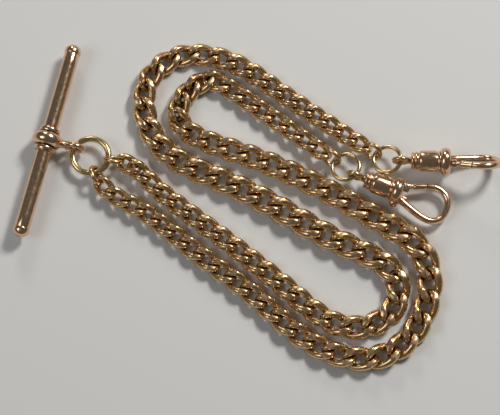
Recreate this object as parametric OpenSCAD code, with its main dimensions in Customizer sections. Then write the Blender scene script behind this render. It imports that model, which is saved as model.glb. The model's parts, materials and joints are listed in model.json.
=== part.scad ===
// Pocket watch chain: a double strand of graduated curb links, a swivel T-bar and two dog clips.
// Millimetres. The chain lies on z = 0. X runs along the length, Z is up.

/* [Curb links] */
// Wire of the smallest links, at the ends of a strand
wire_end = 0.86; // [0.75:0.01:1.05]
// Wire of the largest links, in the middle of a strand
wire_mid = 1.24; // [1.05:0.01:1.5]

/* [Rings] */
// Wire of the main jump ring
ring_wire = 1.1; // [0.9:0.05:1.3]
// Outside diameter of the main jump ring
ring_od = 7.4; // [6.8:0.1:8.8]
// Wire of the end rings
end_ring_wire = 0.75; // [0.65:0.05:0.85]
// Outside diameter of the end rings
end_ring_od = 5.6; // [5.2:0.1:6.4]

/* [T-bar] */
// Length over the domed caps
bar_len = 36; // [28:0.5:44]
// Diameter of the bar
bar_d = 2.7; // [2.2:0.05:3.2]
// Diameter of the end caps
cap_d = 2.9; // [2.7:0.05:3.6]
// Outside diameter of the swivel collar
collar_od = 5.4; // [5:0.1:6.4]
// Width of the swivel collar along the bar
collar_w = 2.4; // [1.9:0.1:2.8]
// Diameter of the stop rings
stop_d = 3.7; // [3.4:0.05:4.4]

/* [Dog clips] */
// Wire of the hook and gate
hook_wire = 1.2; // [1:0.05:1.35]
// Height of the hook's band at the foot of the fixed arm
hook_band = 1.6; // [1.3:0.05:2]
// Width over the hook
hook_w = 7.2; // [6.4:0.1:8.6]
// Length of the hook in front of the collar
hook_len = 8.9; // [8.2:0.1:10.8]
// Outside diameter of the barrel
barrel_d = 3.7; // [3.3:0.05:4.4]
// Length of the barrel
barrel_len = 5; // [4.5:0.1:6]
// Outside diameter of the clip collar
clip_collar_d = 4.8; // [4.4:0.1:5.8]
// Width of the clip collar
clip_collar_w = 1.9; // [1.6:0.1:2.3]
// Diameter of the gate's rivet
rivet_d = 0.6; // [0.5:0.05:0.7]

/* [Hidden] */
$fn = 64;
gap = 0.12;            // running clearance of the turning pieces
bore_gap = 0.1;        // all round a shaft in its bore
GOLD = [0.78, 0.60, 0.38];
ROSE = [0.83, 0.58, 0.44];

// ---- small vector helpers ----
function dirv(h) = [cos(h), sin(h)];
function heading(v) = atan2(v[1], v[0]);
function wrap(a) = a > 180 ? a - 360 : a < -180 ? a + 360 : a;

// ---- curb link: an oval wire twisted about its long axis and filed flat ----
reach_k = 2.34;        // half length of the wire's centre line, in wires
width_k = 1.33;        // half width of the centre line, in wires
pitch_k = 3.4;         // distance from link to link, in wires
flat_k = 0.98;         // half height of the filed flats, in wires
twist = -55;           // roll of the wire at the tips
oval = 0.8;            // squareness of the oval, 1 for an ellipse
rings = 12;
sides = 6;
function spow(v, e) = sign(v) * pow(abs(v), e);
function wire_pt(t, w) =
    let(x = reach_k * w * spow(cos(t), oval), u = width_k * w * spow(sin(t), oval),
        r = twist * x / (reach_k * w))
    [x, u * cos(r), u * sin(r)];
function unit(v) = v / norm(v);
// a tube along points, with a width and a height at each, cut off level at +-top
module tube(pts, tans, ups, r, m, closed = true, top = 1e6) {
    n = len(pts);
    all = [for (i = [0:n - 1]) let(s = unit(cross(tans[i], ups[i])), q = cross(s, tans[i]))
        for (k = [0:m - 1])
            let(p = pts[i] + r[i][0] * cos(360 * (k + 0.5) / m) * s + r[i][1] * sin(360 * (k + 0.5) / m) * q)
            [p[0], p[1], max(-top, min(top, p[2]))]];
    side = [for (i = [0:closed ? n - 1 : n - 2]) for (k = [0:m - 1])
        let(a = i * m + k, b = i * m + (k + 1) % m, j = (i + 1) % n,
            c = j * m + (k + 1) % m, d = j * m + k)
        each [[a, b, c], [a, c, d]]];
    caps = closed ? [] : concat(
        [for (k = [1:m - 2]) [0, k + 1, k]],
        [for (k = [1:m - 2]) [(n - 1) * m, (n - 1) * m + k, (n - 1) * m + k + 1]]);
    polyhedron(all, concat(side, caps));
}
module link(w) {
    ts = [for (i = [0:rings - 1]) 360 * i / rings];
    pts = [for (t = ts) wire_pt(t, w)];
    n = rings;
    tans = [for (i = [0:n - 1]) unit(pts[(i + 1) % n] - pts[(i + n - 1) % n])];
    ups = [for (i = [0:n - 1]) let(x = pts[i][0], r = twist * x / (reach_k * w)) [0, -sin(r), cos(r)]];
    tube(pts, tans, ups, [for (i = ts) [w / 2, w / 2]], sides, true, flat_k * w);
}

// ---- graduation and routes of the two strands ----
count_a = 50;
count_b = 49;
function rise(i, n) = 1 - abs(2 * i / (n - 1) - 1);
function wire_at(i, n) = wire_end + (wire_mid - wire_end) * rise(i, n);
lay = (wire_end + wire_mid) / 2.1;    // the lie grows with the links
place = [-1.18, -0.15];  // brings the middle of the lie to the origin
ring_c = ([-27.9, 8.8] + place) * lay;
ring_r = (ring_od - ring_wire) / 2;
// plain round connectors join a strand to its rings
conn_wire = 0.8;
conn_roll = -62;        // they lean, between the flat ring and the twisted link
conn_r = (ring_wire + wire_end + 0.36 + conn_wire) / 2;
function is_conn(i, n) = i == 0 || i == n - 1;
// from a connector's centre to the wire of the ring that it hangs on
function tip(other) = conn_r - conn_wire / 2 - other / 2 - 0.1;
function pitch_at(i, n) = is_conn(i, n)
    ? 2 * (conn_r + reach_k * wire_end - (conn_wire + wire_end) / 2 - 0.17) - pitch_k * wire_end
    : pitch_k * wire_at(i, n);
out_a = -9;             // where the strands leave the main ring
out_b = -74;
path_a = [
    [-22.9, 8.4], [-20, 6.7], [-15.6, 2.4], [-10.2, -1.7], [-5, -5.6], [0.3, -9.8], [5.7, -14.2],
    [10.6, -18.5], [14, -20.9], [17.5, -21.8], [21.1, -21.4], [24.3, -19.3], [25.9, -15.9],
    [25.2, -12.3], [22.2, -9.6], [16.4, -7.1], [10, -3.6], [2.5, 0.9], [-5, 4.6], [-12, 7.7], [-16.6, 11.6],
    [-18.8, 17.6], [-18, 23.4], [-13.2, 27.4], [-7, 27.6], [-1, 25.3], [6, 20.3], [16.4, 13],
    [26, 6.7]];
path_b = [
    [-25.9, 3.3], [-23.7, 1.6], [-20.8, 0.2], [-17, -2.2], [-12, -6.2], [-6.9, -10.3], [-1.6, -14.2],
    [3.6, -18.7], [8.4, -23.1], [14, -26.2], [20.4, -27.4], [26.6, -24.6], [30.3, -18.6], [31.2, -12.4],
    [29, -6.7], [23.2, -3.1], [15.4, 1.6], [8.2, 5.4], [1, 8.6], [-6, 11.1], [-10.8, 13.2],
    [-13.3, 17], [-12.7, 21.2], [-8.9, 23.5], [-4.4, 22], [1.1, 18], [6, 14.4], [11, 10.8],
    [20, 4.3]];
function spline(a, b, c, d, t) =
    0.5 * ((2 * b) + (c - a) * t + (2 * a - 5 * b + 4 * c - d) * t * t
    + (3 * b - a - 3 * c + d) * t * t * t);
function dense(p) = [for (k = [0:len(p) - 2]) for (s = [0:9])
    spline(p[max(k - 1, 0)], p[k], p[k + 1], p[min(k + 2, len(p) - 1)], s / 10)];
function cross_at(a, b, v, r) =
    let(d = b - a, f = a - v, q = 2 * (f * d), t = (sqrt(q * q - 4 * (d * d) * (f * f - r * r)) - q)
        / (2 * (d * d)))
    a + t * d;
function seek(p, k, v, r) = norm(p[k + 1] - v) >= r ? k : seek(p, k + 1, v, r);
function walk(p, i, n, k, v) = i == n ? [v] :
    let(r = pitch_at(i, n), k2 = seek(p, k, v, r))
    concat([v], walk(p, i + 1, n, k2, cross_at(p[k2], p[k2 + 1], v, r)));
function strand(path, n, out) =
    let(v0 = ring_c + (ring_r + tip(ring_wire) - pitch_at(0, n) / 2) * dirv(out),
        p = concat([v0], [for (q = path) (q + place) * lay]))
    walk(dense(p), 0, n, 0, v0);
knots_a = strand(path_a, count_a, out_a);
knots_b = strand(path_b, count_b, out_b);
function head_at(v, i) = heading(v[i + 1] - v[i]);
function turn_at(v, i, n) = i <= 0 || i >= n ? 0 : wrap(head_at(v, i) - head_at(v, i - 1));
rest = 0.18;            // room under the leaning links
function level(i, n) = rest + (is_conn(i, n) ? conn_r * abs(sin(conn_roll)) + conn_wire / 2
    : flat_k * wire_at(i, n) + 0.75 * max(0, 1 - min(i, n - 1 - i) / 7));
lean_k = -0.1;          // nose-down lean per degree of turn
module strand_links(v, n, from, to) {
    for (i = [from:to]) {
        c = (v[i] + v[i + 1]) / 2;
        lean = lean_k * (turn_at(v, i, n) + turn_at(v, i + 1, n)) / 2;
        translate([c[0], c[1], level(i, n)]) rotate([0, 0, head_at(v, i)])
            if (is_conn(i, n)) rotate([i == 0 ? conn_roll : -conn_roll, 0, 0])
                ring(2 * conn_r + conn_wire, conn_wire);
            else rotate([0, lean, 0]) link(wire_at(i, n));
    }
}

// ---- main ring and T-bar ----
ring_z = level(0, count_a);
module ring(od, w) { rotate_extrude() translate([(od - w) / 2, 0]) circle(d = w); }
module main_ring() { color(GOLD) translate([ring_c[0], ring_c[1], ring_z]) ring(ring_od, ring_wire); }

bar_dir = 75.7;         // heading of the bar
neck_dir = bar_dir - 90;
eye_wire = 0.95;
eye_in = 2;             // hole of the T-bar's eye
eye_r = (eye_in + eye_wire) / 2;
arm = 5;                // from the bar's axis to the eye's centre
bar_z = collar_od / 2;
eye_z = max(ring_z + 0.3, eye_r + eye_wire / 2 + 0.02);
droop = asin((bar_z - eye_z) / arm);
eye_c = ring_c + ring_r * dirv(neck_dir + 166);
bar_c = eye_c - arm * cos(droop) * dirv(neck_dir);
stop_w = 0.8;
// frame on the bar: X along the neck, Y along the bar
module at_bar(tilt = 0) {
    translate([bar_c[0], bar_c[1], bar_z]) rotate([0, 0, neck_dir]) rotate([0, tilt, 0]) children();
}
module along_y() { rotate([-90, 0, 0]) children(); }
module t_swivel() {
    color(ROSE) at_bar(droop) difference() {
        union() {
            along_y() rotate_extrude() intersection() {
                translate([collar_od / 2 - collar_w / 2, 0]) circle(d = collar_w);
                translate([bar_d / 2 + gap, -collar_w]) square([collar_od, 2 * collar_w]);
            }
            translate([collar_od / 2 - 0.4, 0, 0]) rotate([0, 90, 0])
                cylinder(d = 1.5, h = arm - eye_r - collar_od / 2 + 0.5);
            translate([arm, 0, 0]) along_y() ring(2 * eye_r + eye_wire, eye_wire);
        }
        translate([arm, 0, 0]) along_y() cylinder(d = eye_in * 0.98, h = 4, center = true);
    }
}
cap_h = 1.6;
core = bar_len - 2 * cap_h;
module t_bar() { color(ROSE) at_bar() along_y() cylinder(d = bar_d, h = core, center = true); }
module stop_ring(s) {
    color(ROSE) at_bar() along_y() translate([0, 0, s * (collar_w / 2 + gap + stop_w / 2)])
        difference() {
            cylinder(d = stop_d, h = stop_w, center = true);
            cylinder(d = bar_d, h = 2 * stop_w, center = true);
        }
}
module cap(s) {
    color(ROSE) at_bar() rotate([-90 * s, 0, 0]) translate([0, 0, core / 2]) rotate_extrude()
        intersection() {
            translate([0, cap_h - cap_d]) circle(r = cap_d);
            square([cap_d / 2, cap_h]);
        }
}
module stop_ring_n() { stop_ring(1); }
module stop_ring_s() { stop_ring(-1); }
module cap_n() { cap(1); }
module cap_s() { cap(-1); }

// ---- end rings ----
end_r = (end_ring_od - end_ring_wire) / 2;
function last_c(v, n) = (v[n - 1] + v[n]) / 2;
function end_c(v, n) = last_c(v, n)
    + (tip(end_ring_wire) + end_r * cos(end_tilt)) * dirv(head_at(v, n - 1));
end_tilt = 14;          // the end rings rise towards the clips
end_ca = end_c(knots_a, count_a);
end_cb = end_c(knots_b, count_b);
end_z = level(count_a - 1, count_a) + end_r * sin(end_tilt);
dir_a = -2;             // headings of the clips
dir_b = -20;
module end_ring(c, v, n) {
    color(GOLD) translate([c[0], c[1], end_z]) rotate([0, 0, head_at(v, n - 1)])
        rotate([0, -end_tilt, 0]) ring(end_ring_od, end_ring_wire);
}
module end_ring_a() { end_ring(end_ca, knots_a, count_a); }
module end_ring_b() { end_ring(end_cb, knots_b, count_b); }

// ---- dog clips: X along the clip from the eye's centre, Y across the hook ----
cs_wire = 0.9;          // wire of the swivel eye
cs_in = 1.5;            // its hole
cs_r = (cs_in + cs_wire) / 2;
shank_d = 1.3;
shank_head = 2;
barrel_x = cs_r + cs_wire / 2 + 0.15;
collar_x = barrel_x + barrel_len;
face_x = collar_x + clip_collar_w;
roll_a = 118;           // the upper clip lies on its edge
roll_b = 0;
exit_a = -8;            // where the eyes stand on their end rings
exit_b = -46;
function eye_at(c, v, n, h) =
    let(g = head_at(v, n - 1), r = wrap(h - g), x = end_r * cos(r) * cos(end_tilt), y = end_r * sin(r))
    [c[0] + x * cos(g) - y * sin(g), c[1] + x * sin(g) + y * cos(g),
     end_z + end_r * cos(r) * sin(end_tilt)];
pa = eye_at(end_ca, knots_a, count_a, exit_a);
pb = eye_at(end_cb, knots_b, count_b, exit_b);
// the upper clip rests on the bow, the lower one on its collar
lift_a = asin((hook_w / 2 * sin(roll_a) + 0.35 - pa[2]) / (face_x + 5));
lift_b = asin((clip_collar_d / 2 + 0.05 - pb[2]) / (face_x - 1));
module at_clip(p, h, lift, roll) {
    translate(p) rotate([0, 0, h]) rotate([0, -lift, 0]) rotate([roll, 0, 0]) children();
}
module along_x() { rotate([0, 90, 0]) children(); }
module clip_swivel() {
    difference() {
        union() {
            along_y() ring(2 * cs_r + cs_wire, cs_wire);
            translate([cs_r, 0, 0]) along_x() cylinder(d = shank_d, h = barrel_x - cs_r + 1.4);
            translate([barrel_x + 1.2, 0, 0]) along_x() cylinder(d = shank_head, h = 0.8);
        }
        along_y() cylinder(d = cs_in * 0.98, h = 4, center = true);
    }
}
module clip_barrel() {
    r = barrel_d / 2;
    translate([barrel_x, 0, 0]) along_x() difference() {
        rotate_extrude() polygon([
            [0, 0], [r * 0.74, 0], [r * 0.8, 0.12], [r * 0.8, 0.4], [r * 0.72, 0.52], [r * 0.72, 0.62],
            [r * 0.86, 0.74], [r * 0.86, 1.06], [r * 0.78, 1.18], [r * 0.78, 1.3], [r * 0.93, 1.44],
            [r, 1.7], [r, barrel_len - 0.5], [r * 0.9, barrel_len - 0.35], [r * 0.9, barrel_len - 0.2],
            [r * 0.98, barrel_len - 0.1], [r * 0.98, barrel_len], [0, barrel_len]]);
        translate([0, 0, -1]) cylinder(d = shank_d + 2 * bore_gap, h = 3);
        translate([0, 0, 1.2 - gap]) cylinder(d = shank_head + 2 * bore_gap, h = 0.8 + 2 * gap);
    }
}
boss_d = 1.7;           // boss at the foot of the fixed arm
module clip_collar() {
    translate([collar_x, 0, 0]) union() {
        translate([clip_collar_w / 2, 0, 0]) along_x() rotate_extrude() intersection() {
            translate([clip_collar_d / 2 - clip_collar_w / 2, 0]) circle(d = clip_collar_w);
            translate([0, -clip_collar_w]) square([clip_collar_d, 2 * clip_collar_w]);
        }
        along_x() cylinder(d = clip_collar_d - clip_collar_w, h = clip_collar_w);
        translate([clip_collar_w / 2 + 0.1, 0.25 - clip_collar_d / 2, 0]) sphere(d = boss_d);
    }
}
root_y = 1.4;           // where the two arms leave the yoke
yoke = 1;
pin_x = face_x + 0.55;
nose = [face_x + 3.8, hook_w / 2 - hook_wire / 2 - 0.35];
// the fixed arm and the bow, from the yoke round to the nose, for a hook of unit size
bow_k = [[0.02, -0.44], [0.22, -0.66], [0.42, -0.85], [0.6, -0.97], [0.76, -0.98], [0.9, -0.78],
    [0.98, -0.38], [1, 0.06], [0.97, 0.45], [0.88, 0.78], [0.75, 0.97], [0.6, 1], [0.42, 0.88]];
bow_in = [for (q = bow_k) [face_x + q[0] * (hook_len - hook_wire / 2), q[1] * (hook_w - hook_wire) / 2]];
bow = concat([for (k = [0:len(bow_in) - 2]) for (s = [0:1])
    let(q = spline(bow_in[max(k - 1, 0)], bow_in[k], bow_in[k + 1],
        bow_in[min(k + 2, len(bow_in) - 1)], s / 2)) [q[0], q[1], 0]],
    [[bow_in[len(bow_in) - 1][0], bow_in[len(bow_in) - 1][1], 0]]);
module clip_hook() {
    n = len(bow);
    tans = [for (i = [0:n - 1]) unit(bow[min(i + 1, n - 1)] - bow[max(i - 1, 0)])];
    difference() {
        tube(bow, tans, [for (p = bow) [0, 0, 1]],
            [for (i = [0:n - 1]) [hook_wire / 2, (hook_band - (hook_band - hook_wire) * i / (n - 1)) / 2]],
            8, false);
        translate([nose[0], nose[1], 0]) rotate([0, 0, 30]) translate([-2.9, -2, -2]) cube([3, 4, 4]);
    }
}
module clip_yoke() {
    difference() {
        translate([face_x, -root_y - 0.5, -hook_wire / 2]) cube([yoke, 2 * root_y + 1, hook_wire]);
        translate([face_x - 1, root_y - 0.75, -0.3 - gap / 2]) cube([3, 3, 0.6 + gap]);
        translate([pin_x, root_y, 0]) cylinder(d = rivet_d, h = 4, center = true);
    }
}
// the gate runs straight from its rivet to the nose
gate_dir = heading([nose[0] - pin_x, nose[1] - root_y]);
gate_len = norm([nose[0] - pin_x, nose[1] - root_y]);
module clip_gate() {
    difference() {
        translate([pin_x, root_y, 0]) union() {
            translate([0, 0, -0.3]) cylinder(r = 0.42, h = 0.6);
            rotate([0, 0, gate_dir]) {
                translate([0, -0.4, -0.3]) cube([1.3, 0.8, 0.6]);
                translate([1, 0, 0]) along_x() cylinder(d = hook_wire, h = gate_len - 0.65);
            }
        }
        translate([pin_x, root_y, 0]) cylinder(d = rivet_d * 0.6 + 2 * 0.05, h = 4, center = true);
        translate([nose[0], nose[1], 0]) rotate([0, 0, 30]) translate([-gap, -3, -2]) cube([3, 6, 4]);
    }
}
module clip_rivet() {
    translate([pin_x, root_y, 0]) union() {
        cylinder(d = rivet_d * 0.6, h = hook_wire, center = true);
        translate([0, 0, hook_wire / 2]) cylinder(d = rivet_d, h = 0.15);
        translate([0, 0, -hook_wire / 2 - 0.15]) cylinder(d = rivet_d, h = 0.15);
    }
}
module clip_spring() { translate([pin_x - 0.35, root_y - 0.75, -0.25]) cube([0.8, 0.15, 0.5]); }
module swivel_a() { color(ROSE) at_clip(pa, dir_a, lift_a, 0) clip_swivel(); }
module swivel_b() { color(ROSE) at_clip(pb, dir_b, lift_b, 0) clip_swivel(); }
module barrel_a() { color(ROSE) at_clip(pa, dir_a, lift_a, roll_a) clip_barrel(); }
module barrel_b() { color(ROSE) at_clip(pb, dir_b, lift_b, roll_b) clip_barrel(); }
module collar_a() { color(ROSE) at_clip(pa, dir_a, lift_a, roll_a) clip_collar(); }
module collar_b() { color(ROSE) at_clip(pb, dir_b, lift_b, roll_b) clip_collar(); }
module hook_a() { color(ROSE) at_clip(pa, dir_a, lift_a, roll_a) { clip_hook(); clip_yoke(); } }
module hook_b() { color(ROSE) at_clip(pb, dir_b, lift_b, roll_b) { clip_hook(); clip_yoke(); } }
module gate_a() { color(ROSE) at_clip(pa, dir_a, lift_a, roll_a) clip_gate(); }
module gate_b() { color(ROSE) at_clip(pb, dir_b, lift_b, roll_b) clip_gate(); }
module rivet_a() { color(ROSE) at_clip(pa, dir_a, lift_a, roll_a) clip_rivet(); }
module rivet_b() { color(ROSE) at_clip(pb, dir_b, lift_b, roll_b) clip_rivet(); }
module spring_a() { color(ROSE) at_clip(pa, dir_a, lift_a, roll_a) clip_spring(); }
module spring_b() { color(ROSE) at_clip(pb, dir_b, lift_b, roll_b) clip_spring(); }

// ---- strands: two or three neighbouring links to a sub-part ----
module sa(from, to) { color(GOLD) strand_links(knots_a, count_a, from, to); }
module sb(from, to) { color(GOLD) strand_links(knots_b, count_b, from, to); }
module links_a01() { sa(0, 1); }
module links_a02() { sa(2, 3); }
module links_a03() { sa(4, 6); }
module links_a04() { sa(7, 9); }
module links_a05() { sa(10, 12); }
module links_a06() { sa(13, 15); }
module links_a07() { sa(16, 18); }
module links_a08() { sa(19, 21); }
module links_a09() { sa(22, 24); }
module links_a10() { sa(25, 27); }
module links_a11() { sa(28, 30); }
module links_a12() { sa(31, 33); }
module links_a13() { sa(34, 36); }
module links_a14() { sa(37, 39); }
module links_a15() { sa(40, 42); }
module links_a16() { sa(43, 45); }
module links_a17() { sa(46, 47); }
module links_a18() { sa(48, 49); }
module links_b01() { sb(0, 1); }
module links_b02() { sb(2, 3); }
module links_b03() { sb(4, 6); }
module links_b04() { sb(7, 9); }
module links_b05() { sb(10, 12); }
module links_b06() { sb(13, 15); }
module links_b07() { sb(16, 18); }
module links_b08() { sb(19, 21); }
module links_b09() { sb(22, 24); }
module links_b10() { sb(25, 27); }
module links_b11() { sb(28, 30); }
module links_b12() { sb(31, 33); }
module links_b13() { sb(34, 36); }
module links_b14() { sb(37, 39); }
module links_b15() { sb(40, 42); }
module links_b16() { sb(43, 44); }
module links_b17() { sb(45, 46); }
module links_b18() { sb(47, 48); }

main_ring();
t_swivel();
t_bar();
stop_ring_n();
stop_ring_s();
cap_n();
cap_s();
end_ring_a();
swivel_a();
barrel_a();
collar_a();
hook_a();
gate_a();
rivet_a();
spring_a();
end_ring_b();
swivel_b();
barrel_b();
collar_b();
hook_b();
gate_b();
rivet_b();
spring_b();
links_a01();
links_a02();
links_a03();
links_a04();
links_a05();
links_a06();
links_a07();
links_a08();
links_a09();
links_a10();
links_a11();
links_a12();
links_a13();
links_a14();
links_a15();
links_a16();
links_a17();
links_a18();
links_b01();
links_b02();
links_b03();
links_b04();
links_b05();
links_b06();
links_b07();
links_b08();
links_b09();
links_b10();
links_b11();
links_b12();
links_b13();
links_b14();
links_b15();
links_b16();
links_b17();
links_b18();
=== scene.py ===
"""Pocket watch chain: a double strand of graduated curb links, a swivel T-bar and two dog clips."""
import json
import logging
import math
from dataclasses import dataclass
from enum import Enum

import bmesh
import bpy
import numpy as np
from mathutils import Matrix, Vector


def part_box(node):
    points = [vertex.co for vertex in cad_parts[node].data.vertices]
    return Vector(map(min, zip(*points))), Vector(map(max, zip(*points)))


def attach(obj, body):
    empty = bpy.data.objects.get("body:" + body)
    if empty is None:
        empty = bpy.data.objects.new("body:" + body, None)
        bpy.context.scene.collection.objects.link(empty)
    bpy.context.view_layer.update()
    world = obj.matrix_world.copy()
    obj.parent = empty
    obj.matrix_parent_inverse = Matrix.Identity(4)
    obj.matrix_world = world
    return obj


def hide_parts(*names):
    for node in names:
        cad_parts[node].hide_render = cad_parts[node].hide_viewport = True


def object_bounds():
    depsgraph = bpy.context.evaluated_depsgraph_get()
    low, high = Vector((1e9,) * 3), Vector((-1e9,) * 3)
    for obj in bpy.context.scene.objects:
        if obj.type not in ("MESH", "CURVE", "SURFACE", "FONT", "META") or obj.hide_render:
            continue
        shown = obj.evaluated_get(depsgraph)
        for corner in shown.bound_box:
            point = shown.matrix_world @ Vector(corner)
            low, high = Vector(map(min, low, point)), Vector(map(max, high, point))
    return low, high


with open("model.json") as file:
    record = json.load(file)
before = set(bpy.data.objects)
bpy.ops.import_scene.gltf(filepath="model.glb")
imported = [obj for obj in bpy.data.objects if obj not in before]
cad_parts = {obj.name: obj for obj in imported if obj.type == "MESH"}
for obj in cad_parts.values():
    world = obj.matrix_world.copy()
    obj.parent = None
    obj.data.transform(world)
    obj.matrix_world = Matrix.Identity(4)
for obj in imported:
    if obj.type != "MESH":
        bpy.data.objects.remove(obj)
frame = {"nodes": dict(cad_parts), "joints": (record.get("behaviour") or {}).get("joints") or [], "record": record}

LOG = logging.getLogger("watch_chain")
MM = 0.001
CAD_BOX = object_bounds()
JOINTS = {j["name"]: j for j in frame["joints"]}
BODY_OF = {node: body for body, nodes in frame["record"]["behaviour"]["bodies"].items() for node in nodes}


class Part(Enum):
    """Finishes that the maker gave the chain's pieces."""

    LINK = "link_gold"
    RING = "ring_gold"
    ROSE = "rose_gold"
    RIVET = "rivet_gold"
    STEEL = "spring_steel"


@dataclass(frozen=True)
class Metal:
    """A worn, hand-polished metal.

    Attributes:
        body: Colour of the polished metal.
        tint: Colour of the patches where the alloy shows through.
        hollow_shade_and_tarnish: Colour of the painted shade in the hollows, with some old tarnish.
        rough: Roughness where it is polished.
        worn: Roughness where it is rubbed.
        reach: How far the painted shade and tarnish spread out of a hollow, in millimetres.
        grain: Depth of the fine scratches, in millimetres.
        shade_and_tarnish_depth: How much of the painted shade and tarnish shows, from 0 to 1.
    """

    body: tuple[float, float, float]
    tint: tuple[float, float, float]
    hollow_shade_and_tarnish: tuple[float, float, float]
    rough: float = 0.2
    worn: float = 0.34
    reach: float = 0.7
    grain: float = 0.006
    shade_and_tarnish_depth: float = 0.8

    def dress(self, name: str) -> bpy.types.Material:
        """Builds the metal's material.

        Args:
            name: Name of the new material.

        Returns:
            The material.
        """
        mat = bpy.data.materials.new(name)
        mat.use_nodes = True
        tree = mat.node_tree
        add, link = tree.nodes.new, tree.links.new
        shader = tree.nodes["Principled BSDF"]
        shader.inputs["Metallic"].default_value = 1.0
        place = add("ShaderNodeTexCoord")

        def noise(scale: float, detail: float, rough: float = 0.5) -> bpy.types.Node:
            """A noise on the piece's own coordinates, with a feature size of 1/scale metres."""
            n = add("ShaderNodeTexNoise")
            n.inputs["Scale"].default_value = scale
            n.inputs["Detail"].default_value = detail
            n.inputs["Roughness"].default_value = rough
            link(place.outputs["Object"], n.inputs["Vector"])
            return n

        def span(src: bpy.types.NodeSocket, lo: float, hi: float, a: float, b: float) -> bpy.types.Node:
            """Maps a value from lo..hi to a..b, held at the ends."""
            n = add("ShaderNodeMapRange")
            for key, value in (("From Min", lo), ("From Max", hi), ("To Min", a), ("To Max", b)):
                n.inputs[key].default_value = value
            link(src, n.inputs["Value"])
            return n

        def mix(fac: bpy.types.NodeSocket, a: object, b: object) -> bpy.types.Node:
            """Mixes two colours, each a socket or a plain colour."""
            n = add("ShaderNodeMix")
            n.data_type = "RGBA"
            link(fac, n.inputs["Factor"])
            for key, value in ((6, a), (7, b)):
                if isinstance(value, bpy.types.NodeSocket):
                    link(value, n.inputs[key])
                else:
                    n.inputs[key].default_value = (*value, 1.0)
            return n

        patches = noise(420.0, 2.0)
        tone = mix(span(patches.outputs["Fac"], 0.42, 0.66, 0.0, 1.0).outputs["Result"], self.body, self.tint)
        # Painted shade: ambient occlusion darkens the colour in the hollows in and between the pieces, where shade
        # falls. A little noise adds uneven old tarnish, and the same mask makes the hollows rougher.
        hollow = add("ShaderNodeAmbientOcclusion")
        hollow.samples = 8
        hollow.only_local = False
        hollow.inputs["Distance"].default_value = self.reach * MM
        grime = noise(2600.0, 4.0, 0.62)
        edge = add("ShaderNodeMath")
        edge.operation = "MULTIPLY_ADD"
        edge.inputs[1].default_value = 0.3
        link(grime.outputs["Fac"], edge.inputs[0])
        link(hollow.outputs["AO"], edge.inputs[2])
        shade_and_tarnish_mask = span(edge.outputs[0], 0.42, 0.86, self.shade_and_tarnish_depth, 0.0)
        tone_with_painted_shade = mix(shade_and_tarnish_mask.outputs["Result"], tone.outputs[2], self.hollow_shade_and_tarnish)
        link(tone_with_painted_shade.outputs[2], shader.inputs["Base Color"])
        rub = noise(1500.0, 5.0, 0.6)
        rough = span(rub.outputs["Fac"], 0.35, 0.68, self.rough, self.worn)
        coarse = add("ShaderNodeMath")
        coarse.operation = "MULTIPLY_ADD"
        coarse.inputs[1].default_value = 0.3
        link(shade_and_tarnish_mask.outputs["Result"], coarse.inputs[0])
        link(rough.outputs["Result"], coarse.inputs[2])
        link(coarse.outputs[0], shader.inputs["Roughness"])
        dents = noise(1900.0, 3.0, 0.55)
        scratch = noise(9000.0, 4.0, 0.7)
        height = add("ShaderNodeMath")
        height.operation = "MULTIPLY_ADD"
        height.inputs[1].default_value = 0.35
        link(scratch.outputs["Fac"], height.inputs[0])
        link(dents.outputs["Fac"], height.inputs[2])
        bump = add("ShaderNodeBump")
        bump.inputs["Strength"].default_value = 0.6
        bump.inputs["Distance"].default_value = self.grain * MM
        link(height.outputs[0], bump.inputs["Height"])
        link(bump.outputs["Normal"], shader.inputs["Normal"])
        return mat


# The third colour of each metal here and of the flats' metal is painted into the hollows as painted shade with some old
# tarnish.
METALS: dict[Part, Metal] = {
    Part.LINK: Metal((0.74, 0.47, 0.25), (0.66, 0.48, 0.23), (0.1, 0.045, 0.012), 0.2, 0.34, 0.9, 0.014, 0.95),
    Part.RING: Metal((0.76, 0.53, 0.28), (0.7, 0.55, 0.27), (0.14, 0.06, 0.02), 0.18, 0.3, 0.7, 0.006, 0.75),
    Part.ROSE: Metal((0.8, 0.52, 0.34), (0.78, 0.55, 0.34), (0.2, 0.07, 0.03), 0.15, 0.28, 0.7, 0.006, 0.75),
    Part.RIVET: Metal((0.75, 0.52, 0.3), (0.7, 0.55, 0.28), (0.14, 0.06, 0.02), 0.2, 0.35, 0.4, 0.006, 0.7),
    Part.STEEL: Metal((0.5, 0.49, 0.47), (0.42, 0.4, 0.37), (0.08, 0.06, 0.05), 0.25, 0.4, 0.4, 0.006, 0.6),
}
FLAT = Metal((0.7, 0.46, 0.27), (0.66, 0.49, 0.26), (0.16, 0.07, 0.02), 0.24, 0.4, 0.5, 0.026, 0.7)


# ---- modelling helpers ----
def lathe(bm: bmesh.types.BMesh, profile: list[tuple[float, float]], steps: int = 64) -> None:
    """Turns a profile about the x axis.

    Args:
        bm: Mesh to add to.
        profile: Points of distance along x and radius, in millimetres.
        steps: Steps in the full turn.
    """
    made = [bm.verts.new((x, r, 0.0)) for x, r in profile]
    edges = [bm.edges.new(pair) for pair in zip(made, made[1:])]
    bmesh.ops.spin(bm, geom=made + edges, cent=(0, 0, 0), axis=(1, 0, 0), angle=math.tau, steps=steps,
                   use_merge=True)
    bmesh.ops.remove_doubles(bm, verts=bm.verts, dist=1e-5)


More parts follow.
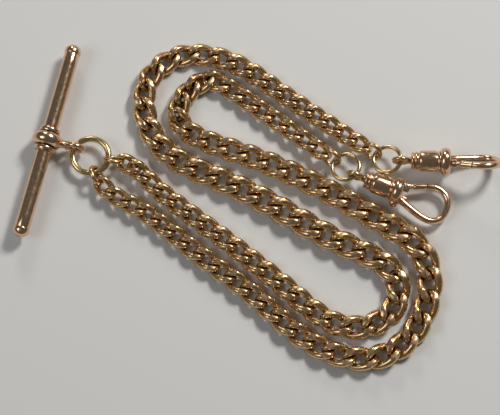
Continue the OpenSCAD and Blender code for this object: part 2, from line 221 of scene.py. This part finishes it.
def torus(bm: bmesh.types.BMesh, radius: float, wire: float, steps: int = 64, sides: int = 20) -> None:
    """Adds a ring of round wire about the z axis.

    Args:
        bm: Mesh to add to.
        radius: Radius to the middle of the wire.
        wire: Diameter of the wire.
        steps: Steps round the ring.
        sides: Sides of the wire.
    """
    made = bmesh.ops.create_circle(bm, segments=sides, radius=wire / 2, cap_ends=False)["verts"]
    bmesh.ops.rotate(bm, verts=made, cent=(0, 0, 0), matrix=Matrix.Rotation(math.pi / 2, 3, "X"))
    bmesh.ops.translate(bm, verts=made, vec=(radius, 0, 0))
    edges = list({e for v in made for e in v.link_edges})
    bmesh.ops.spin(bm, geom=made + edges, cent=(0, 0, 0), axis=(0, 0, 1), angle=math.tau, steps=steps,
                   use_merge=True)


def frame_of(x: Vector, z: Vector, at: Vector) -> Matrix:
    """A placing with its x and z axes along the given directions.

    Args:
        x: Direction of the x axis.
        z: Direction of the z axis, made square to x.
        at: Place of the origin.

    Returns:
        The placing.
    """
    x = x.normalized()
    y = z.cross(x).normalized()
    return Matrix((x, y, x.cross(y))).transposed().to_4x4() if at is None else (
        Matrix.Translation(at) @ Matrix((x, y, x.cross(y))).transposed().to_4x4())


def smooth_path(points: list[Vector], steps: int) -> list[Vector]:
    """A smooth curve through the points.

    Args:
        points: Points that the curve passes through.
        steps: Steps between neighbouring points.

    Returns:
        The points of the curve.
    """
    out: list[Vector] = []
    for k in range(len(points) - 1):
        a, b, c, d = (points[max(k - 1, 0)], points[k], points[k + 1], points[min(k + 2, len(points) - 1)])
        for s in range(steps):
            t = s / steps
            out.append(0.5 * ((2 * b) + (c - a) * t + (2 * a - 5 * b + 4 * c - d) * t * t
                              + (3 * b - a - 3 * c + d) * t ** 3))
    return out + [points[-1]]


def sweep(bm: bmesh.types.BMesh, path: list[Vector], halves: list[tuple[float, float]],
          sides: int = 20) -> tuple[list[bmesh.types.BMVert], list[bmesh.types.BMVert]]:
    """Draws an oval section along a path in the xy plane, with both ends closed.

    Args:
        bm: Mesh to add to.
        path: Points of the path.
        halves: Half width in the plane and half height at each point.
        sides: Sides of the section.

    Returns:
        The vertices of the first and the last section.
    """
    def stand(i: int) -> Matrix:
        """Placing and scale of the section at a point."""
        tan = (path[min(i + 1, len(path) - 1)] - path[max(i - 1, 0)]).normalized()
        side = tan.cross(Vector((0, 0, 1)))
        turn = Matrix((side, Vector((0, 0, 1)), tan)).transposed().to_4x4()
        return Matrix.Translation(path[i]) @ turn @ Matrix.Diagonal((*halves[i], 1, 1))

    ring = bmesh.ops.create_circle(bm, segments=sides, radius=1.0, cap_ends=True)["verts"]
    bmesh.ops.transform(bm, matrix=stand(0), verts=ring)
    first, last = list(ring), list(ring)
    edges = list({e for v in ring for e in v.link_edges if e.other_vert(v) in ring})
    for i in range(1, len(path)):
        grown = bmesh.ops.extrude_edge_only(bm, edges=edges)["geom"]
        last = [g for g in grown if isinstance(g, bmesh.types.BMVert)]
        edges = [g for g in grown if isinstance(g, bmesh.types.BMEdge)
                 and g.verts[0] in last and g.verts[1] in last]
        bmesh.ops.transform(bm, matrix=stand(i) @ stand(i - 1).inverted(), verts=last)
    bmesh.ops.contextual_create(bm, geom=edges)
    return first, last


def slide_to_plane(verts: list[bmesh.types.BMVert], at: Vector, normal: Vector, along: Vector) -> None:
    """Slides vertices along a direction on to a plane.

    Args:
        verts: Vertices to move.
        at: A point of the plane.
        normal: Normal of the plane.
        along: Direction to slide in.
    """
    for v in verts:
        v.co += along * ((at - v.co).dot(normal) / along.dot(normal))


class Bench:
    """Puts finished meshes into the scene, on their bodies and in their finishes."""

    def __init__(self) -> None:
        """Mixes every finish once."""
        self.metals = {part: metal.dress(part.value) for part, metal in METALS.items()}
        self.flat = FLAT.dress("filed_flat")

    def place(self, bm: bmesh.types.BMesh, name: str, node: str, part: Part, to: Matrix,
              sharp: float = 38.0, bevel: float = 0.0, flats: bool = False) -> bpy.types.Object:
        """Turns a mesh into a piece that stands for a CAD node.

        Args:
            bm: The piece in millimetres, freed afterwards.
            name: Name of the piece.
            node: CAD node that it stands for.
            part: Its finish.
            to: Placing of the piece, in millimetres.
            sharp: Angle in degrees above which an edge stays sharp.
            bevel: Width of a live bevel on sharp edges, in millimetres.
            flats: Whether the second material is used for filed flats.

        Returns:
            The piece.
        """
        bmesh.ops.transform(bm, matrix=Matrix.Diagonal((MM, MM, MM, 1)) @ to, verts=bm.verts)
        bmesh.ops.recalc_face_normals(bm, faces=bm.faces)
        for face in bm.faces:
            face.smooth = True
        mesh = bpy.data.meshes.new(name)
        bm.to_mesh(mesh)
        bm.free()
        mesh.set_sharp_from_angle(angle=math.radians(sharp))
        mesh.materials.append(self.metals[part])
        if flats:
            mesh.materials.append(self.flat)
        obj = bpy.data.objects.new(name, mesh)
        bpy.context.scene.collection.objects.link(obj)
        if bevel:
            mod = obj.modifiers.new("edges", "BEVEL")
            mod.width = bevel * MM
            mod.segments = 2
            mod.limit_method = "ANGLE"
            mod.angle_limit = math.radians(sharp)
            mod.harden_normals = False
        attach(obj, BODY_OF[node])
        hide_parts(node)
        LOG.info("%s: %d faces on %s", name, len(mesh.polygons), BODY_OF[node])
        return obj


@dataclass
class CurbStrand:
    """One strand of curb links between two plain connector rings.

    Attributes:
        tag: Letter of the strand.
        groups: Number of groups of neighbouring links.
        reach: Half length of a link's wire, in wires.
        half: Half width of a link's wire, in wires.
        flat: Half height of the filed flats, in wires.
        filed: Half height of the filed flats as they show, in wires.
        twist: Roll of the wire at the tips, in degrees.
        oval: Squareness of the oval.
        full: Fullness of the wire along its sides.
        slim: Fullness of the wire at the tips.
        loop: Radius of a plain connector ring.
        counts: Number of links in each group.
    """

    tag: str
    groups: int = 18
    reach: float = 2.34
    half: float = 1.33
    flat: float = 0.98
    filed: float = 1.1
    twist: float = -55.0
    oval: float = 0.8
    full: float = 1.24
    slim: float = 1.0
    loop: float = 1.56
    counts: tuple[int, ...] = (2, 2) + (3,) * 14 + (2, 2)

    def wire(self, t: float) -> tuple[Vector, float]:
        """Middle of the wire and its roll at an angle round the link, for a wire of 1."""
        c, s = math.cos(t), math.sin(t)
        x = self.reach * math.copysign(abs(c) ** self.oval, c)
        u = self.half * math.copysign(abs(s) ** self.oval, s)
        roll = math.radians(self.twist) * x / self.reach
        return Vector((x, u * math.cos(roll), u * math.sin(roll))), roll

    def link(self) -> bpy.types.Mesh:
        """Models one link with a wire of 1, twisted and filed flat on both faces."""
        bm = bmesh.new()
        torus(bm, 1.0, 1.0, steps=36, sides=14)
        for v in bm.verts:
            t = math.atan2(v.co.y, v.co.x)
            body = self.slim + (self.full - self.slim) * abs(math.sin(t))
            out, up = (math.hypot(v.co.x, v.co.y) - 1.0) * body, v.co.z * body
            mid, roll = self.wire(t)
            tan = (self.wire(t + 0.02)[0] - self.wire(t - 0.02)[0]).normalized()
            side = tan.cross(Vector((0, -math.sin(roll), math.cos(roll)))).normalized()
            v.co = mid + side * out + side.cross(tan) * up
        for sign in (1, -1):
            cut = bmesh.ops.bisect_plane(bm, geom=bm.verts[:] + bm.edges[:] + bm.faces[:],
                                         plane_co=(0, 0, self.filed if sign > 0 else -self.flat), plane_no=(0, 0, sign),
                                         clear_outer=True)
            rim = [g for g in cut["geom_cut"] if isinstance(g, bmesh.types.BMEdge)]
            for face in bmesh.ops.holes_fill(bm, edges=rim, sides=0)["faces"]:
                face.material_index = 1
        mesh = bpy.data.meshes.new("link_" + self.tag)
        bm.to_mesh(mesh)
        bm.free()
        return mesh

    def stations(self, node: str) -> list[tuple[Matrix, float, bool]]:
        """Reads where each link of a group lies from its CAD solid.

        Args:
            node: Name of the group's CAD node.

        Returns:
            For each link its placing in millimetres, its size, and whether it is a plain ring.
        """
        bm = bmesh.new()
        bm.from_mesh(frame["nodes"][node].data)
        bmesh.ops.remove_doubles(bm, verts=bm.verts, dist=1e-6)
        bm.verts.ensure_lookup_table()
        left, found = set(bm.verts), []
        while left:
            todo = [next(iter(left))]
            left.discard(todo[0])
            shell = []
            while todo:
                v = todo.pop()
                shell.append(v)
                for e in v.link_edges:
                    o = e.other_vert(v)
                    if o in left:
                        left.discard(o)
                        todo.append(o)
            if len(shell) < 20:
                continue
            pts = np.array([v.co for v in shell]) / MM
            mid = (pts.max(0) + pts.min(0)) / 2
            area, weight = np.zeros(3), 0.0
            for face in {f for v in shell for f in v.link_faces}:
                a = face.calc_area()
                area += np.array(face.calc_center_median()) * a
                weight += a
            mid = area / weight / MM
            spread = np.zeros((3, 3))
            for face in {f for v in shell for f in v.link_faces}:
                d = np.array(face.calc_center_median()) / MM - mid
                spread += np.outer(d, d) * face.calc_area()
            value, axes = np.linalg.eigh(spread)
            x, z = Vector(axes[:, 2]), Vector(axes[:, 0])
            plain = value[1] > 0.8 * value[2]
            if z.z < 0:
                z = -z
            high = np.abs((pts - mid) @ np.array(z)).max()
            size = 2 * high if plain else high / self.flat
            found.append((frame_of(x, z, Vector(mid)), float(size), bool(plain)))
            LOG.debug("%s at %s size %.3f", node, mid, size)
        bm.free()
        found.sort(key=lambda s: tuple(round(v, 4) for v in s[0].translation))
        return found

    def run(self, known: dict[int, list[tuple[Matrix, float, bool]]], k: int) -> list[tuple[Matrix, float, bool]]:
        """Lays a group whose links touch along the curve between its neighbours.

        Args:
            known: Links of each group that reads clearly.
            k: Number of the group.

        Returns:
            The links of the group, as in stations.
        """
        first = k == 1
        after = Vector(JOINTS[f"flex_{self.tag}{k + 1:02d}"]["pos_m"]) / MM
        nxt = min(known[k + 1], key=lambda s: (s[0].translation - after).length)
        b, wb = nxt[0].translation, nxt[1]
        before = Vector(JOINTS[f"flex_{self.tag}{k:02d}"]["pos_m"]) / MM
        if first:
            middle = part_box("main_ring")
            a, wa = before, wb
            a = Vector((a.x, a.y, b.z))
            da = (a - Vector(((middle[0].x + middle[1].x) / 2 / MM, (middle[0].y + middle[1].y) / 2 / MM, a.z)))
        else:
            prv = min(known[k - 1], key=lambda s: (s[0].translation - before).length)
            a, wa = prv[0].translation, prv[1]
            da = prv[0].to_3x3() @ Vector((1, 0, 0))
        db = nxt[0].to_3x3() @ Vector((1, 0, 0))
        da, db = Vector((da.x, da.y, 0)).normalized(), Vector((db.x, db.y, 0)).normalized()
        da = -da if da.dot(b - a) < 0 else da
        db = -db if db.dot(b - a) < 0 else db
        n, far = self.counts[k - 1], (b - a).length * 1.1
        curve = []
        for i in range(201):
            t = i / 200
            curve.append((2 * t ** 3 - 3 * t * t + 1) * a + (t ** 3 - 2 * t * t + t) * far * da
                         + (3 * t * t - 2 * t ** 3) * b + (t ** 3 - t * t) * far * db)
        lengths = np.cumsum([0.0] + [(q - p).length for p, q in zip(curve, curve[1:])])
        marks = [0.155, 0.6] if first else [(j + 1) / (n + 1) for j in range(n)]
        out = []
        for j, mark in enumerate(marks):
            i = int(np.searchsorted(lengths, mark * lengths[-1]))
            i = min(max(i, 1), 199)
            x = (curve[i + 1] - curve[i - 1])
            x = Vector((x.x, x.y, 0)).normalized()
            if first and j == 0:
                lean = Matrix.Rotation(math.radians(-62.0), 3, x) @ Vector((0, 0, 1))
                low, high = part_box(f"links_{self.tag}01")
                at = Vector((curve[i].x, curve[i].y, (low.z + high.z) / 2 / MM))
                out.append((frame_of(x, lean, at), 0.8, True))
            else:
                out.append((frame_of(x, Vector((0, 0, 1)), curve[i]), wa + (wb - wa) * mark, False))
        return out

    def build(self, bench: Bench) -> None:
        """Models every group of the strand."""
        pattern = self.link()
        known = {k: self.stations(f"links_{self.tag}{k:02d}") for k in range(1, self.groups + 1)}
        for k, found in list(known.items()):
            if len(found) != self.counts[k - 1]:
                known[k] = self.run(known, k)
        for k in range(1, self.groups + 1):
            node = f"links_{self.tag}{k:02d}"
            bm = bmesh.new()
            for place, size, plain in known[k]:
                old = set(bm.verts)
                if plain:
                    torus(bm, self.loop, size, steps=40, sides=14)
                    scale = Matrix.Identity(4)
                else:
                    bm.from_mesh(pattern)
                    scale = Matrix.Diagonal((size, size, size, 1))
                new = [v for v in bm.verts if v not in old]
                bmesh.ops.transform(bm, matrix=place @ scale, verts=new)
            bench.place(bm, f"curb_{self.tag}{k:02d}", node, Part.LINK, Matrix.Identity(4), 32.0, flats=True)


@dataclass
class Rings:
    """The main jump ring and the two end rings, which lie as their CAD nodes do."""

    main_wire: float = 1.1
    main_od: float = 7.4
    end_wire: float = 0.75
    end_od: float = 5.6
    end_rise: float = 14.0

    def build(self, bench: Bench) -> None:
        """Models the rings."""
        low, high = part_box("main_ring")
        bm = bmesh.new()
        torus(bm, (self.main_od - self.main_wire) / 2, self.main_wire, 96, 24)
        bench.place(bm, "jump_ring", "main_ring", Part.RING, Matrix.Translation((low + high) / 2 / MM))
        for tag in "ab":
            low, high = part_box(f"end_ring_{tag}")
            hinge = JOINTS[f"end_ring_{tag}_rock"]
            across = Vector(hinge["axis"]).normalized()
            ahead = across.cross(Vector((0, 0, 1)))
            tilt = math.radians(self.end_rise)
            x = ahead * math.cos(tilt) + Vector((0, 0, 1)) * math.sin(tilt)
            bm = bmesh.new()
            torus(bm, (self.end_od - self.end_wire) / 2, self.end_wire, 80, 18)
            bench.place(bm, f"split_ring_{tag}", f"end_ring_{tag}", Part.RING,
                        frame_of(x, x.cross(across), (low + high) / 2 / MM))


@dataclass
class Toggle:
    """The bar with its domed caps and stop rings, and the swivel collar that it turns in.

    Attributes:
        length: Length over the caps.
        bar: Diameter of the bar.
        cap: Diameter of a cap.
        cap_h: Length of a cap.
        collar: Outside diameter of the collar.
        width: Width of the collar.
        stop: Diameter of a stop ring.
        stop_w: Width of a stop ring.
        gap: Running clearance.
        arm: From the bar's axis to the middle of the eye.
        eye: Radius to the middle of the eye's wire.
        eye_wire: Wire of the eye.
        droop: Dip of the neck, in degrees.
    """

    length: float = 36.0
    bar: float = 2.7
    cap: float = 2.9
    cap_h: float = 1.6
    collar: float = 5.4
    width: float = 2.4
    stop: float = 3.7
    stop_w: float = 0.8
    gap: float = 0.12
    arm: float = 5.0
    eye: float = 1.475
    eye_wire: float = 0.95
    droop: float = 5.08

    def build(self, bench: Bench) -> None:
        """Models the toggle."""
        hinge = JOINTS["t_bar_turn"]
        along = Vector(hinge["axis"]).normalized()
        at = Vector(hinge["pos_m"]) / MM
        on_bar = frame_of(along, Vector((0, 0, 1)), at)
        r, core = self.bar / 2, self.length / 2 - self.cap_h
        bm = bmesh.new()
        lathe(bm, [(-core - 0.02, 0), (-core - 0.02, r - 0.06), (-core + 0.1, r)]
              + [(x * core / 8, r) for x in range(-7, 8)] + [(core - 0.1, r), (core + 0.02, r - 0.06), (core + 0.02, 0)])
        bench.place(bm, "toggle_bar", "t_bar", Part.ROSE, on_bar)
        for end, sign in (("n", 1), ("s", -1)):
            side = on_bar @ Matrix.Diagonal((sign, 1, 1, 1))
            rc = self.cap / 2
            dome = [(core + 0.34 + (self.cap_h - 0.34) * math.sin(a), rc * math.cos(a) ** 0.8)
                    for a in (math.radians(d) for d in range(6, 90, 7))]
            bm = bmesh.new()
            lathe(bm, [(core, 0), (core, rc - 0.1), (core + 0.04, rc - 0.03), (core + 0.12, rc),
                       (core + 0.26, rc)] + dome + [(core + self.cap_h, 0)])
            bench.place(bm, f"toggle_cap_{end}", f"cap_{end}", Part.ROSE, side)
            start = self.width / 2 + self.gap
            rs, w = self.stop / 2, self.stop_w
            bm = bmesh.new()
            lathe(bm, [(start, r - 0.02), (start, rs - 0.2), (start + 0.06, rs - 0.07), (start + 0.2, rs),
                       (start + w - 0.2, rs), (start + w - 0.06, rs - 0.07), (start + w, rs - 0.2),
                       (start + w, r - 0.02), (start, r - 0.02)])
            bench.place(bm, f"toggle_stop_{end}", f"stop_ring_{end}", Part.ROSE, side)
        self.build_swivel(bench, at, along)

    def build_swivel(self, bench: Bench, at: Vector, along: Vector) -> None:
        """Models the collar with its neck and eye.

        Args:
            bench: Where the piece goes.
            at: Middle of the collar.
            along: Direction of the bar.
        """
        level = frame_of(along.cross(Vector((0, 0, 1))), Vector((0, 0, 1)), at)
        to = level @ Matrix.Rotation(math.radians(self.droop), 4, "Y")
        hole, outer, half = self.bar / 2 + self.gap, self.collar / 2, self.width / 2
        crown = [(half * math.cos(a), outer - half + half * math.sin(a) ** 0.9)
                 for a in (math.radians(d) for d in range(0, 181, 12))]
        bm = bmesh.new()
        lathe(bm, [(half * 0.96, hole + 0.06), (half, outer - half - 0.1)] + crown
              + [(-half, outer - half - 0.1), (-half * 0.96, hole + 0.06), (-half * 0.88, hole),
                 (half * 0.88, hole), (half * 0.96, hole + 0.06)], 80)
        bmesh.ops.rotate(bm, verts=bm.verts, cent=(0, 0, 0), matrix=Matrix.Rotation(math.pi / 2, 3, "Z"))
        start, stop = outer - 0.3, self.arm - self.eye + 0.2
        path = [Vector((start + (stop - start) * k / 10, 0, 0)) for k in range(11)]
        waist = [(0.66 + 0.3 * abs(k / 10 - 0.5) ** 1.5 * 2, 0.66 + 0.3 * abs(k / 10 - 0.5) ** 1.5 * 2)
                 for k in range(11)]
        sweep(bm, path, waist, 20)
        old = set(bm.verts)
        torus(bm, self.eye, self.eye_wire, 64, 20)
        ring = [v for v in bm.verts if v not in old]
        bmesh.ops.rotate(bm, verts=ring, cent=(0, 0, 0), matrix=Matrix.Rotation(math.pi / 2, 3, "X"))
        bmesh.ops.translate(bm, verts=ring, vec=(self.arm, 0, 0))
        bench.place(bm, "toggle_swivel", "t_swivel", Part.ROSE, to)


@dataclass
class DogClip:
    """A dog clip: swivel eye, grooved barrel, collar, pear-shaped hook and hinged gate.

    Attributes:
        tag: Letter of the clip.
        wire: Wire of the hook and gate.
        band: Height of the hook at the foot of the fixed arm.
        width: Width over the hook.
        length: Length of the hook in front of the collar.
        barrel: Diameter of the barrel.
        barrel_len: Length of the barrel.
        collar: Diameter of the collar.
        collar_w: Width of the collar.
        eye: Radius to the middle of the eye's wire.
        eye_wire: Wire of the eye.
        root: Distance of each arm's root from the middle.
    """

    tag: str
    wire: float = 1.2
    band: float = 1.6
    width: float = 7.2
    length: float = 8.9
    barrel: float = 3.7
    barrel_len: float = 5.0
    collar: float = 4.8
    collar_w: float = 1.9
    eye: float = 1.2
    eye_wire: float = 0.9
    root: float = 1.4

    def placing(self) -> Matrix:
        """Placing of the clip, with x along it from the eye's middle and y to the gate side."""
        turn, gate = JOINTS[f"clip_{self.tag}_turn"], JOINTS[f"gate_{self.tag}_open"]
        x = Vector(turn["axis"]).normalized()
        return frame_of(x, Vector(gate["axis"]), Vector(turn["pos_m"]) / MM - x * self.barrel_x)

    @property
    def barrel_x(self) -> float:
        """Start of the barrel."""
        return self.eye + self.eye_wire / 2 + 0.15

    @property
    def face_x(self) -> float:
        """Front face of the collar."""
        return self.barrel_x + self.barrel_len + self.collar_w

    def build(self, bench: Bench) -> None:
        """Models the clip."""
        to = self.placing()
        self.build_swivel(bench)
        self.build_barrel(bench, to)
        self.build_collar(bench, to)
        self.build_hook(bench, to)
        self.build_gate(bench, to)
        self.build_rivet(bench, to)

    def build_swivel(self, bench: Bench) -> None:
        """Models the eye and its headed shank, which don't turn with the clip."""
        turn = JOINTS[f"clip_{self.tag}_turn"]
        x = Vector(turn["axis"]).normalized()
        to = frame_of(x, Vector((0, 0, 1)), Vector(turn["pos_m"]) / MM - x * self.barrel_x)
        bm = bmesh.new()
        torus(bm, self.eye, self.eye_wire, 56, 18)
        bmesh.ops.rotate(bm, verts=bm.verts, cent=(0, 0, 0), matrix=Matrix.Rotation(math.pi / 2, 3, "X"))
        b = self.barrel_x
        lathe(bm, [(self.eye, 0), (self.eye, 0.6), (b, 0.64), (b + 1.15, 0.64), (b + 1.2, 0.98), (b + 1.25, 1.0),
                   (b + 1.95, 1.0), (b + 2.0, 0.95), (b + 2.0, 0)], 40)
        bench.place(bm, f"clip_eye_{self.tag}", f"swivel_{self.tag}", Part.RING, to)

    def build_barrel(self, bench: Bench, to: Matrix) -> None:
        """Models the barrel with its turned grooves and a hollow for the shank."""
        r, n = self.barrel / 2, self.barrel_len
        line = [(1.12, 0.0), (1.12, 1.08), (1.06, 1.1), (1.06, 0.76), (0.04, 0.76), (0.0, 0.8),
                (0.0, r * 0.7), (0.04, r * 0.75), (0.12, r * 0.8), (0.26, r * 0.82), (0.4, r * 0.8),
                (0.5, r * 0.73), (0.56, r * 0.71), (0.62, r * 0.73), (0.72, r * 0.84), (0.9, r * 0.88),
                (1.06, r * 0.86), (1.16, r * 0.79), (1.24, r * 0.77), (1.32, r * 0.79), (1.44, r * 0.9),
                (1.6, r * 0.96), (1.8, r * 0.99), (2.2, r), (n - 0.9, r), (n - 0.6, r * 0.985),
                (n - 0.5, r * 0.97), (n - 0.42, r * 0.92), (n - 0.32, r * 0.9), (n - 0.22, r * 0.92),
                (n - 0.16, r * 0.97), (n - 0.08, r * 0.99), (n, r * 0.98), (n, 0.0)]
        bm = bmesh.new()
        lathe(bm, [(self.barrel_x + x, q) for x, q in line], 64)
        bench.place(bm, f"clip_barrel_{self.tag}", f"barrel_{self.tag}", Part.ROSE, to)

    def build_collar(self, bench: Bench, to: Matrix) -> None:
        """Models the fat rounded collar and the boss at the foot of the fixed arm."""
        half, start = self.collar_w / 2, self.barrel_x + self.barrel_len
        crown = [(start + half - half * math.cos(a), self.collar / 2 - half + half * math.sin(a) ** 0.85)
                 for a in (math.radians(d) for d in range(0, 181, 12))]
        bm = bmesh.new()
        lathe(bm, [(start, 0)] + crown + [(start + self.collar_w, 0)], 72)
        boss = bmesh.ops.create_uvsphere(bm, u_segments=24, v_segments=16, radius=0.84)["verts"]
        bmesh.ops.translate(bm, verts=boss, vec=(start + half + 0.1, 0.25 - self.collar / 2, 0))
        bench.place(bm, f"clip_collar_{self.tag}", f"collar_{self.tag}", Part.ROSE, to)

    def nose(self) -> Vector:
        """Middle of the slanted joint between the bow and the gate."""
        return Vector((self.face_x + 3.8, self.width / 2 - self.wire / 2 - 0.35, 0))

    def build_hook(self, bench: Bench, to: Matrix) -> None:
        """Models the fixed arm, the bow round to the nose, and the yoke that holds the gate."""
        unit = [(0.02, -0.44), (0.22, -0.66), (0.42, -0.85), (0.6, -0.97), (0.76, -0.98), (0.9, -0.78),
                (0.98, -0.38), (1, 0.06), (0.97, 0.45), (0.88, 0.78), (0.75, 0.97), (0.6, 1.0)]
        span, half = self.length - self.wire / 2, (self.width - self.wire) / 2
        nose = self.nose()
        knots = [Vector((self.face_x + x * span, y * half, 0)) for x, y in unit] + [nose + Vector((0.1, 0.06, 0))]
        path = smooth_path(knots, 5)
        n = len(path)
        halves = []
        for i in range(n):
            tall = self.band + (self.wire - self.band) * i / (n - 1)
            halves.append((self.wire / 2, tall / 2))
        bm = bmesh.new()
        _, last = sweep(bm, path, halves, 24)
        cut = Vector((math.cos(math.radians(30)), math.sin(math.radians(30)), 0))
        slide_to_plane(last, nose + cut * 0.1, cut, (path[-1] - path[-3]).normalized())
        r = self.wire / 2
        for y, wide in ((self.root - 0.24, 0.0), (-self.root + 0.1, 0.0)):
            for z in ((r - 0.13, -(r - 0.13)) if y > 0 else (0.0,)):
                thick = 0.24 if y > 0 else self.wire * 0.98
                cube = bmesh.ops.create_cube(bm, size=1.0)["verts"]
                bmesh.ops.scale(bm, verts=cube, vec=(1.05, 1.3, thick))
                bmesh.ops.translate(bm, verts=cube, vec=(self.face_x + 0.475, y + wide, z))
                edges = list({e for v in cube for e in v.link_edges})
                bmesh.ops.bevel(bm, geom=edges, offset=0.1, segments=3, profile=0.5, affect="EDGES", material=-1)
        bench.place(bm, f"clip_hook_{self.tag}", f"hook_{self.tag}", Part.ROSE, to)

    def build_gate(self, bench: Bench, to: Matrix) -> None:
        """Models the gate from its eye on the rivet to the slanted joint."""
        nose = self.nose()
        pin = Vector((self.face_x + 0.55, self.root, 0))
        way = (nose - pin).normalized()
        cut = Vector((math.cos(math.radians(30)), math.sin(math.radians(30)), 0))
        reach = (nose - pin).length
        path = [pin + way * (0.95 + (reach - 0.95) * k / 14) for k in range(15)]
        r = self.wire / 2
        halves = [(r * min(1.0, 0.74 + 0.13 * k), r * min(1.0, 0.6 + 0.2 * k)) for k in range(15)]
        bm = bmesh.new()
        _, last = sweep(bm, path, halves, 24)
        slide_to_plane(last, nose - cut * 0.12, cut, way)
        for spot, wide, long in ((pin, 0.84, 0.84), (pin + way * 0.65, 0.76, 1.2)):
            cube = bmesh.ops.create_cube(bm, size=1.0)["verts"]
            bmesh.ops.scale(bm, verts=cube, vec=(long, wide, 0.56))
            turn = Matrix.Rotation(math.atan2(way.y, way.x), 3, "Z")
            bmesh.ops.rotate(bm, verts=cube, cent=(0, 0, 0), matrix=turn)
            bmesh.ops.translate(bm, verts=cube, vec=spot)
            edges = list({e for v in cube for e in v.link_edges})
            bmesh.ops.bevel(bm, geom=edges, offset=0.12, segments=3, profile=0.5, affect="EDGES", material=-1)
        bench.place(bm, f"clip_gate_{self.tag}", f"gate_{self.tag}", Part.ROSE, to)

    def build_rivet(self, bench: Bench, to: Matrix) -> None:
        """Models the gate's rivet with domed heads and the leaf spring under the gate."""
        x, r, tall = self.face_x + 0.55, 0.18, self.wire / 2
        dome = [(tall + 0.02 + 0.13 * math.sin(a), 0.3 * math.cos(a)) for a in (math.radians(d) for d in (0, 30, 60))]
        line = [(tall - 0.02, r), (tall - 0.02, 0.3)] + dome + [(tall + 0.15, 0)]
        bm = bmesh.new()
        lathe(bm, [(-p, q) for p, q in reversed(line)] + line, 28)
        bmesh.ops.rotate(bm, verts=bm.verts, cent=(0, 0, 0), matrix=Matrix.Rotation(-math.pi / 2, 3, "Y"))
        bmesh.ops.translate(bm, verts=bm.verts, vec=(x, self.root, 0))
        bench.place(bm, f"clip_rivet_{self.tag}", f"rivet_{self.tag}", Part.RIVET, to)
        bm = bmesh.new()
        leaf = bmesh.ops.create_cube(bm, size=1.0)["verts"]
        bmesh.ops.scale(bm, verts=leaf, vec=(0.8, 0.14, 0.48))
        bmesh.ops.translate(bm, verts=leaf, vec=(x + 0.05, self.root - 0.675, 0))
        bmesh.ops.bevel(bm, geom=bm.edges[:], offset=0.03, segments=2, profile=0.5, affect="EDGES", material=-1)
        bench.place(bm, f"clip_spring_{self.tag}", f"spring_{self.tag}", Part.STEEL, to)


@dataclass(frozen=True)
class Studio:
    """A plain pale table under soft light, seen from above.

    Attributes:
        target: Point that the camera looks at, in millimetres.
        height: Angle of the camera above the table, in degrees.
        distance: Distance of the camera, in millimetres.
        across: Width of the view at the target, in millimetres.
    """

    target: tuple[float, float, float] = (-1.18, -0.15, 0.0)
    height: float = 75.0
    distance: float = 400.0
    across: float = 87.5

    def camera(self) -> None:
        """Sets the camera up."""
        cam = bpy.data.cameras.new("camera")
        cam.sensor_width = 36.0
        cam.lens = 36.0 * self.distance / self.across
        cam.clip_start, cam.clip_end = 0.01, 20.0
        obj = bpy.data.objects.new("camera", cam)
        rise = math.radians(self.height)
        obj.location = (Vector(self.target)
                        + self.distance * Vector((0, -math.cos(rise), math.sin(rise)))) * MM
        obj.rotation_euler = (math.pi / 2 - rise, 0, 0)
        bpy.context.scene.collection.objects.link(obj)
        bpy.context.scene.camera = obj

    def lamp(self, name: str, at: tuple[float, float, float], size: float, watts: float,
             tone: tuple[float, float, float]) -> None:
        """Adds a soft box that faces the middle of the table.

        Args:
            name: Name of the lamp.
            at: Place in metres.
            size: Width in metres.
            watts: Power.
            tone: Colour.
        """
        data = bpy.data.lights.new(name, "AREA")
        data.shape, data.size, data.energy, data.color = "SQUARE", size, watts, tone
        obj = bpy.data.objects.new(name, data)
        obj.location = at
        obj.rotation_euler = Vector(at).to_track_quat("Z", "Y").to_euler()
        bpy.context.scene.collection.objects.link(obj)

    def table(self) -> None:
        """Lays the table under the chain."""
        bm = bmesh.new()
        bmesh.ops.create_grid(bm, x_segments=1, y_segments=1, size=3.0)
        bmesh.ops.translate(bm, verts=bm.verts, vec=(0, 0, CAD_BOX[0][2]))
        mesh = bpy.data.meshes.new("table")
        bm.to_mesh(mesh)
        bm.free()
        mat = bpy.data.materials.new("table")
        mat.use_nodes = True
        shader = mat.node_tree.nodes["Principled BSDF"]
        shader.inputs["Base Color"].default_value = (0.78, 0.78, 0.77, 1)
        shader.inputs["Roughness"].default_value = 0.9
        shader.inputs["Specular IOR Level"].default_value = 0.1
        mesh.materials.append(mat)
        obj = bpy.data.objects.new("table", mesh)
        bpy.context.scene.collection.objects.link(obj)

    def build(self) -> None:
        """Sets up the camera, the light and the table."""
        self.camera()
        self.table()
        world = bpy.data.worlds.new("room")
        world.use_nodes = True
        world.node_tree.nodes["Background"].inputs["Color"].default_value = (0.5, 0.5, 0.5, 1)
        world.node_tree.nodes["Background"].inputs["Strength"].default_value = 0.2
        bpy.context.scene.world = world
        self.lamp("key", (0.3, 0.32, 0.46), 0.14, 2.4, (1.0, 0.97, 0.92))
        self.lamp("fill", (-0.45, -0.1, 0.5), 0.3, 0.75, (0.93, 0.96, 1.0))
        self.lamp("rim", (-0.1, 0.6, 0.3), 0.16, 0.7, (1.0, 0.98, 0.95))
        scene = bpy.context.scene
        scene.view_settings.view_transform = "Standard"


def main() -> None:
    """Builds the chain and its studio."""
    logging.basicConfig(level=logging.INFO, format="%(message)s")
    Studio().build()
    bench = Bench()
    CurbStrand("a").build(bench)
    CurbStrand("b", counts=(2, 2) + (3,) * 13 + (2, 2, 2)).build(bench)
    Rings().build(bench)
    Toggle().build(bench)
    for tag in "ab":
        DogClip(tag).build(bench)


if __name__ == "__main__":
    main()
